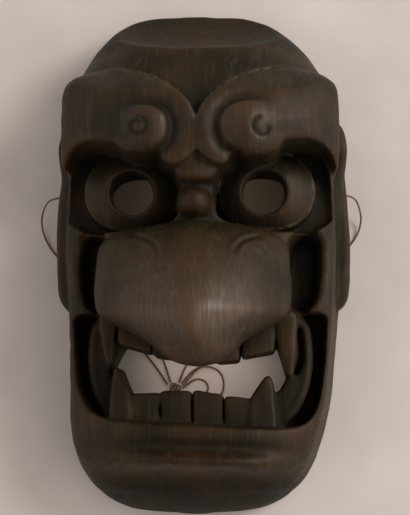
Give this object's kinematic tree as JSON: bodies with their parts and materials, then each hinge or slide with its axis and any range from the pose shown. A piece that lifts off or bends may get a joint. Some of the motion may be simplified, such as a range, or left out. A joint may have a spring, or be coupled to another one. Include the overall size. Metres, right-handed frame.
{
  "type": "gigaku mask",
  "caption": "Carved wooden mask with curling brows, domed pierced eyes, a broad drooping nose and an open fanged mouth, hollow behind, with a thin tie cord.",
  "frame": {"origin": "middle of the mask's outline on the plane of its open back rim, which it lies on", "axes": "+Z out of the face, +Y towards the crown, +X towards the viewer's right when looking at the face with the crown up"},
  "size_m": [0.1757, 0.272, 0.1121],
  "materials": {
    "carved_wood": "dark brown-black patina rubbed to a low sheen, worn warm brown on the ridges",
    "twine": "thin twisted brown twine, matt"
  },
  "bodies": {
    "root": {"mask": "carved_wood", "cord_left": "twine", "cord_right": "twine", "bow_large": "twine", "bow_small": "twine", "knot": "twine"}
  },
  "joints": []
}
